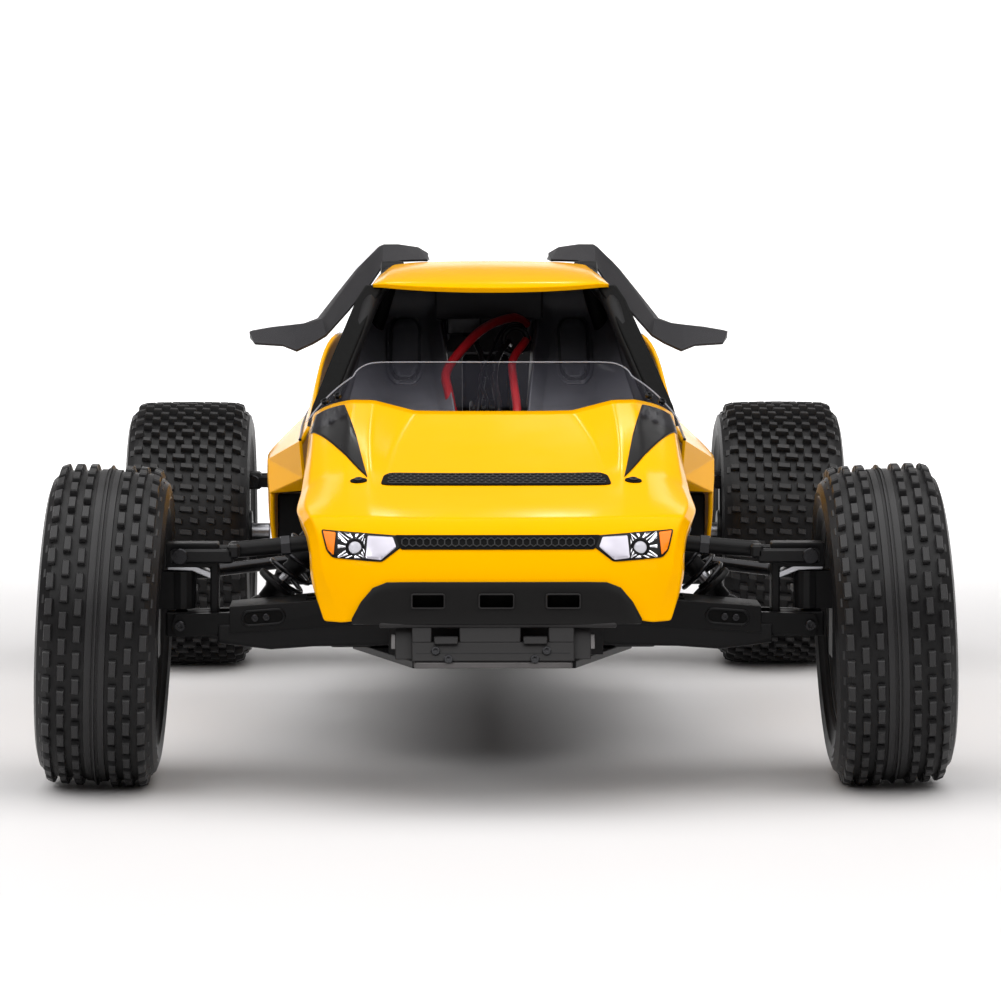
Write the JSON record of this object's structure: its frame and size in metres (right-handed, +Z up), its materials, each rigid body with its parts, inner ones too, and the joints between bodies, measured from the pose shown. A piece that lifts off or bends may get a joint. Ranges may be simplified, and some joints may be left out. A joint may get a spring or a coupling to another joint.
{
  "type": "rc buggy",
  "caption": "Off-road radio-controlled buggy: shell on a tube cage, low windscreen, swept roof fins, sprung arms, steerable front wheels and block-tread tyres.",
  "frame": {"origin": "on the ground, on the plane of symmetry, half-way along the length", "axes": "front faces -Y, +X to the right seen from the front, +Z up"},
  "size_m": [0.4798, 0.82, 0.2802],
  "materials": {
    "yellow_shell": "gloss",
    "black_plastic": "satin",
    "grey_plastic": "matte",
    "black_metal": "satin black",
    "alloy": "satin",
    "steel": "satin",
    "tyre_rubber": "matte",
    "clear_sheet": "clear",
    "battery_wrap": "gloss"
  },
  "bodies": {
    "chassis": {"chassis_plate": "alloy", "front_bumper": "grey_plastic", "front_bulkhead": "black_plastic", "rear_gearbox": "black_plastic", "battery_pack": "battery_wrap", "speed_controller": "grey_plastic", "steering_servo": "black_plastic", "motor": "steel", "roll_cage": "black_plastic", "cockpit_tub": "black_plastic", "nose_panel": "yellow_shell", "windscreen": "clear_sheet", "roof_panel": "yellow_shell", "roof_fin_left": "grey_plastic", "roof_fin_right": "grey_plastic", "side_pod_left": "yellow_shell", "side_pod_right": "yellow_shell"},
    "servo_arm": {"servo_arm": "alloy"},
    "idler_arm": {"idler_arm": "alloy"},
    "drag_link": {"drag_link": "black_metal"},
    "spur_gear": {"spur_gear": "grey_plastic"},
    "motor_pinion": {"motor_pinion": "steel"},
    "front_arm_left": {"front_arm_left": "grey_plastic"},
    "front_hub_carrier_left": {"front_hub_carrier_left": "black_metal"},
    "front_upper_link_left": {"front_upper_link_left": "black_plastic"},
    "front_wheel_left": {"front_rim_left": "black_plastic", "front_tyre_left": "tyre_rubber"},
    "front_knuckle_left": {"front_knuckle_left": "black_metal"},
    "front_tie_rod_left": {"front_tie_rod_left": "steel"},
    "front_shock_body_left": {"front_shock_body_left": "black_metal", "front_spring_left": "black_metal"},
    "front_shock_rod_left": {"front_shock_rod_left": "steel"},
    "front_arm_right": {"front_arm_right": "grey_plastic"},
    "front_hub_carrier_right": {"front_hub_carrier_right": "black_metal"},
    "front_upper_link_right": {"front_upper_link_right": "black_plastic"},
    "front_wheel_right": {"front_rim_right": "black_plastic", "front_tyre_right": "tyre_rubber"},
    "front_knuckle_right": {"front_knuckle_right": "black_metal"},
    "front_tie_rod_right": {"front_tie_rod_right": "steel"},
    "front_shock_body_right": {"front_shock_body_right": "black_metal", "front_spring_right": "black_metal"},
    "front_shock_rod_right": {"front_shock_rod_right": "steel"},
    "rear_arm_left": {"rear_arm_left": "grey_plastic"},
    "rear_hub_carrier_left": {"rear_hub_carrier_left": "black_metal"},
    "rear_upper_link_left": {"rear_upper_link_left": "black_plastic"},
    "rear_wheel_left": {"rear_rim_left": "black_plastic", "rear_tyre_left": "tyre_rubber"},
    "half_shaft_left": {"half_shaft_left": "steel"},
    "rear_shock_body_left": {"rear_shock_body_left": "black_metal", "rear_spring_left": "black_metal"},
    "rear_shock_rod_left": {"rear_shock_rod_left": "steel"},
    "rear_arm_right": {"rear_arm_right": "grey_plastic"},
    "rear_hub_carrier_right": {"rear_hub_carrier_right": "black_metal"},
    "rear_upper_link_right": {"rear_upper_link_right": "black_plastic"},
    "rear_wheel_right": {"rear_rim_right": "black_plastic", "rear_tyre_right": "tyre_rubber"},
    "half_shaft_right": {"half_shaft_right": "steel"},
    "rear_shock_body_right": {"rear_shock_body_right": "black_metal", "rear_spring_right": "black_metal"},
    "rear_shock_rod_right": {"rear_shock_rod_right": "steel"}
  },
  "joints": [
    {"name": "steering", "type": "hinge", "parent": "chassis", "child": "servo_arm", "pos_m": [-0.026, -0.237, 0.1], "axis": [0, 0, 1], "range_deg": [-25, 25]},
    {"name": "idler_turn", "type": "hinge", "parent": "chassis", "child": "idler_arm", "pos_m": [0.026, -0.237, 0.1], "axis": [0, 0, 1], "range_deg": [-25.1, 25.1]},
    {"name": "drag_link_swing", "type": "hinge", "parent": "servo_arm", "child": "drag_link", "pos_m": [-0.026, -0.195, 0.108], "axis": [0, 0, 1], "range_deg": [-25.1, 25.1]},
    {"name": "spur_spin", "type": "hinge", "parent": "chassis", "child": "spur_gear", "pos_m": [0.0455, 0.215, 0.112], "axis": [1, 0, 0], "continuous": true},
    {"name": "pinion_spin", "type": "hinge", "parent": "chassis", "child": "motor_pinion", "pos_m": [0.0455, 0.177, 0.1], "axis": [1, 0, 0], "continuous": true},
    {"name": "front_arm_hinge_left", "type": "hinge", "parent": "chassis", "child": "front_arm_left", "pos_m": [-0.048, -0.285, 0.096], "axis": [0, 1, 0], "range_deg": [-5, 16], "stiffness_Nm_per_rad": 25, "springref_deg": -6.65},
    {"name": "front_carrier_hinge_left", "type": "hinge", "parent": "front_arm_left", "child": "front_hub_carrier_left", "pos_m": [-0.166, -0.285, 0.086], "axis": [0, 1, 0], "range_deg": [-16.1, 5.1]},
    {"name": "front_link_hinge_left", "type": "hinge", "parent": "chassis", "child": "front_upper_link_left", "pos_m": [-0.048, -0.285, 0.1325], "axis": [0, 1, 0], "range_deg": [-5.1, 16.1]},
    {"name": "front_kingpin_left", "type": "hinge", "parent": "front_hub_carrier_left", "child": "front_knuckle_left", "pos_m": [-0.166, -0.285, 0.1], "axis": [0, 0, 1], "range_deg": [-25.1, 25.1]},
    {"name": "front_tie_rod_hinge_left", "type": "hinge", "parent": "drag_link", "child": "front_tie_rod_left", "pos_m": [-0.048, -0.195, 0.118], "axis": [0, 1, 0], "range_deg": [-5.1, 16.1]},
    {"name": "front_wheel_spin_left", "type": "hinge", "parent": "front_knuckle_left", "child": "front_wheel_left", "pos_m": [-0.206, -0.285, 0.085], "axis": [-0.9988, 0, 0.0489], "continuous": true},
    {"name": "front_shock_tilt_left", "type": "hinge", "parent": "chassis", "child": "front_shock_body_left", "pos_m": [-0.066, -0.251, 0.16], "axis": [0, 1, 0], "range_deg": [-3.17, 9.94]},
    {"name": "front_shock_stroke_left", "type": "slide", "parent": "front_shock_body_left", "child": "front_shock_rod_left", "axis": [-0.6562, 0, -0.7546], "range_m": [-0.01626, 0.00522], "deforming": ["front_spring_left"]},
    {"name": "front_arm_hinge_right", "type": "hinge", "parent": "chassis", "child": "front_arm_right", "pos_m": [0.048, -0.285, 0.096], "axis": [0, -1, 0], "range_deg": [-5, 16], "stiffness_Nm_per_rad": 25, "springref_deg": -6.65},
    {"name": "front_carrier_hinge_right", "type": "hinge", "parent": "front_arm_right", "child": "front_hub_carrier_right", "pos_m": [0.166, -0.285, 0.086], "axis": [0, -1, 0], "range_deg": [-16.1, 5.1]},
    {"name": "front_link_hinge_right", "type": "hinge", "parent": "chassis", "child": "front_upper_link_right", "pos_m": [0.048, -0.285, 0.1325], "axis": [0, -1, 0], "range_deg": [-5.1, 16.1]},
    {"name": "front_kingpin_right", "type": "hinge", "parent": "front_hub_carrier_right", "child": "front_knuckle_right", "pos_m": [0.166, -0.285, 0.1], "axis": [0, 0, 1], "range_deg": [-25.1, 25.1]},
    {"name": "front_tie_rod_hinge_right", "type": "hinge", "parent": "drag_link", "child": "front_tie_rod_right", "pos_m": [0.048, -0.195, 0.118], "axis": [0, -1, 0], "range_deg": [-5.1, 16.1]},
    {"name": "front_wheel_spin_right", "type": "hinge", "parent": "front_knuckle_right", "child": "front_wheel_right", "pos_m": [0.206, -0.285, 0.085], "axis": [0.9988, 0, 0.0489], "continuous": true},
    {"name": "front_shock_tilt_right", "type": "hinge", "parent": "chassis", "child": "front_shock_body_right", "pos_m": [0.066, -0.251, 0.16], "axis": [0, -1, 0], "range_deg": [-3.17, 9.94]},
    {"name": "front_shock_stroke_right", "type": "slide", "parent": "front_shock_body_right", "child": "front_shock_rod_right", "axis": [0.6562, 0, -0.7546], "range_m": [-0.01626, 0.00522], "deforming": ["front_spring_right"]},
    {"name": "rear_arm_hinge_left", "type": "hinge", "parent": "chassis", "child": "rear_arm_left", "pos_m": [-0.052, 0.285, 0.076], "axis": [0, 1, 0], "range_deg": [-5, 16], "stiffness_Nm_per_rad": 25, "springref_deg": -6.88},
    {"name": "rear_carrier_hinge_left", "type": "hinge", "parent": "rear_arm_left", "child": "rear_hub_carrier_left", "pos_m": [-0.15, 0.285, 0.07], "axis": [0, 1, 0], "range_deg": [-16.1, 5.1]},
    {"name": "rear_link_hinge_left", "type": "hinge", "parent": "chassis", "child": "rear_upper_link_left", "pos_m": [-0.052, 0.285, 0.125], "axis": [0, 1, 0], "range_deg": [-5.1, 16.1]},
    {"name": "half_shaft_hinge_left", "type": "hinge", "parent": "chassis", "child": "half_shaft_left", "pos_m": [-0.0505, 0.285, 0.091], "axis": [0, 1, 0], "range_deg": [-5.1, 16.1]},
    {"name": "rear_wheel_spin_left", "type": "hinge", "parent": "rear_hub_carrier_left", "child": "rear_wheel_left", "pos_m": [-0.19, 0.285, 0.085], "axis": [-1, 0, 0], "continuous": true},
    {"name": "rear_shock_tilt_left", "type": "hinge", "parent": "chassis", "child": "rear_shock_body_left", "pos_m": [-0.06, 0.319, 0.212], "axis": [0, 1, 0], "range_deg": [-0.82, 2.42]},
    {"name": "rear_shock_stroke_left", "type": "slide", "parent": "rear_shock_body_left", "child": "rear_shock_rod_left", "axis": [-0.4087, 0, -0.9127], "range_m": [-0.01807, 0.00579], "deforming": ["rear_spring_left"]},
    {"name": "rear_arm_hinge_right", "type": "hinge", "parent": "chassis", "child": "rear_arm_right", "pos_m": [0.052, 0.285, 0.076], "axis": [0, -1, 0], "range_deg": [-5, 16], "stiffness_Nm_per_rad": 25, "springref_deg": -6.88},
    {"name": "rear_carrier_hinge_right", "type": "hinge", "parent": "rear_arm_right", "child": "rear_hub_carrier_right", "pos_m": [0.15, 0.285, 0.07], "axis": [0, -1, 0], "range_deg": [-16.1, 5.1]},
    {"name": "rear_link_hinge_right", "type": "hinge", "parent": "chassis", "child": "rear_upper_link_right", "pos_m": [0.052, 0.285, 0.125], "axis": [0, -1, 0], "range_deg": [-5.1, 16.1]},
    {"name": "half_shaft_hinge_right", "type": "hinge", "parent": "chassis", "child": "half_shaft_right", "pos_m": [0.0505, 0.285, 0.091], "axis": [0, -1, 0], "range_deg": [-5.1, 16.1]},
    {"name": "rear_wheel_spin_right", "type": "hinge", "parent": "rear_hub_carrier_right", "child": "rear_wheel_right", "pos_m": [0.19, 0.285, 0.085], "axis": [1, 0, 0], "continuous": true},
    {"name": "rear_shock_tilt_right", "type": "hinge", "parent": "chassis", "child": "rear_shock_body_right", "pos_m": [0.06, 0.319, 0.212], "axis": [0, -1, 0], "range_deg": [-0.82, 2.42]},
    {"name": "rear_shock_stroke_right", "type": "slide", "parent": "rear_shock_body_right", "child": "rear_shock_rod_right", "axis": [0.4087, 0, -0.9127], "range_m": [-0.01807, 0.00579], "deforming": ["rear_spring_right"]}
  ],
  "couplings": [
    {"joint": "idler_turn", "follows": "steering", "ratio": 1},
    {"joint": "drag_link_swing", "follows": "steering", "ratio": -1},
    {"joint": "pinion_spin", "follows": "spur_spin", "ratio": -3.0769},
    {"joint": "front_carrier_hinge_left", "follows": "front_arm_hinge_left", "ratio": -1},
    {"joint": "front_link_hinge_left", "follows": "front_arm_hinge_left", "ratio": 1},
    {"joint": "front_kingpin_left", "follows": "steering", "ratio": 1},
    {"joint": "front_tie_rod_hinge_left", "follows": "front_arm_hinge_left", "ratio": 1},
    {"joint": "front_shock_tilt_left", "follows": "front_arm_hinge_left", "ratio": 0.615},
    {"joint": "front_shock_stroke_left", "follows": "front_arm_hinge_left", "m_per_rad": -0.0575},
    {"joint": "front_carrier_hinge_right", "follows": "front_arm_hinge_right", "ratio": -1},
    {"joint": "front_link_hinge_right", "follows": "front_arm_hinge_right", "ratio": 1},
    {"joint": "front_kingpin_right", "follows": "steering", "ratio": 1},
    {"joint": "front_tie_rod_hinge_right", "follows": "front_arm_hinge_right", "ratio": 1},
    {"joint": "front_shock_tilt_right", "follows": "front_arm_hinge_right", "ratio": 0.615},
    {"joint": "front_shock_stroke_right", "follows": "front_arm_hinge_right", "m_per_rad": -0.0575},
    {"joint": "rear_carrier_hinge_left", "follows": "rear_arm_hinge_left", "ratio": -1},
    {"joint": "rear_link_hinge_left", "follows": "rear_arm_hinge_left", "ratio": 1},
    {"joint": "half_shaft_hinge_left", "follows": "rear_arm_hinge_left", "ratio": 1},
    {"joint": "rear_shock_tilt_left", "follows": "rear_arm_hinge_left", "ratio": 0.145},
    {"joint": "rear_shock_stroke_left", "follows": "rear_arm_hinge_left", "m_per_rad": -0.064},
    {"joint": "rear_carrier_hinge_right", "follows": "rear_arm_hinge_right", "ratio": -1},
    {"joint": "rear_link_hinge_right", "follows": "rear_arm_hinge_right", "ratio": 1},
    {"joint": "half_shaft_hinge_right", "follows": "rear_arm_hinge_right", "ratio": 1},
    {"joint": "rear_shock_tilt_right", "follows": "rear_arm_hinge_right", "ratio": 0.145},
    {"joint": "rear_shock_stroke_right", "follows": "rear_arm_hinge_right", "m_per_rad": -0.064}
  ]
}
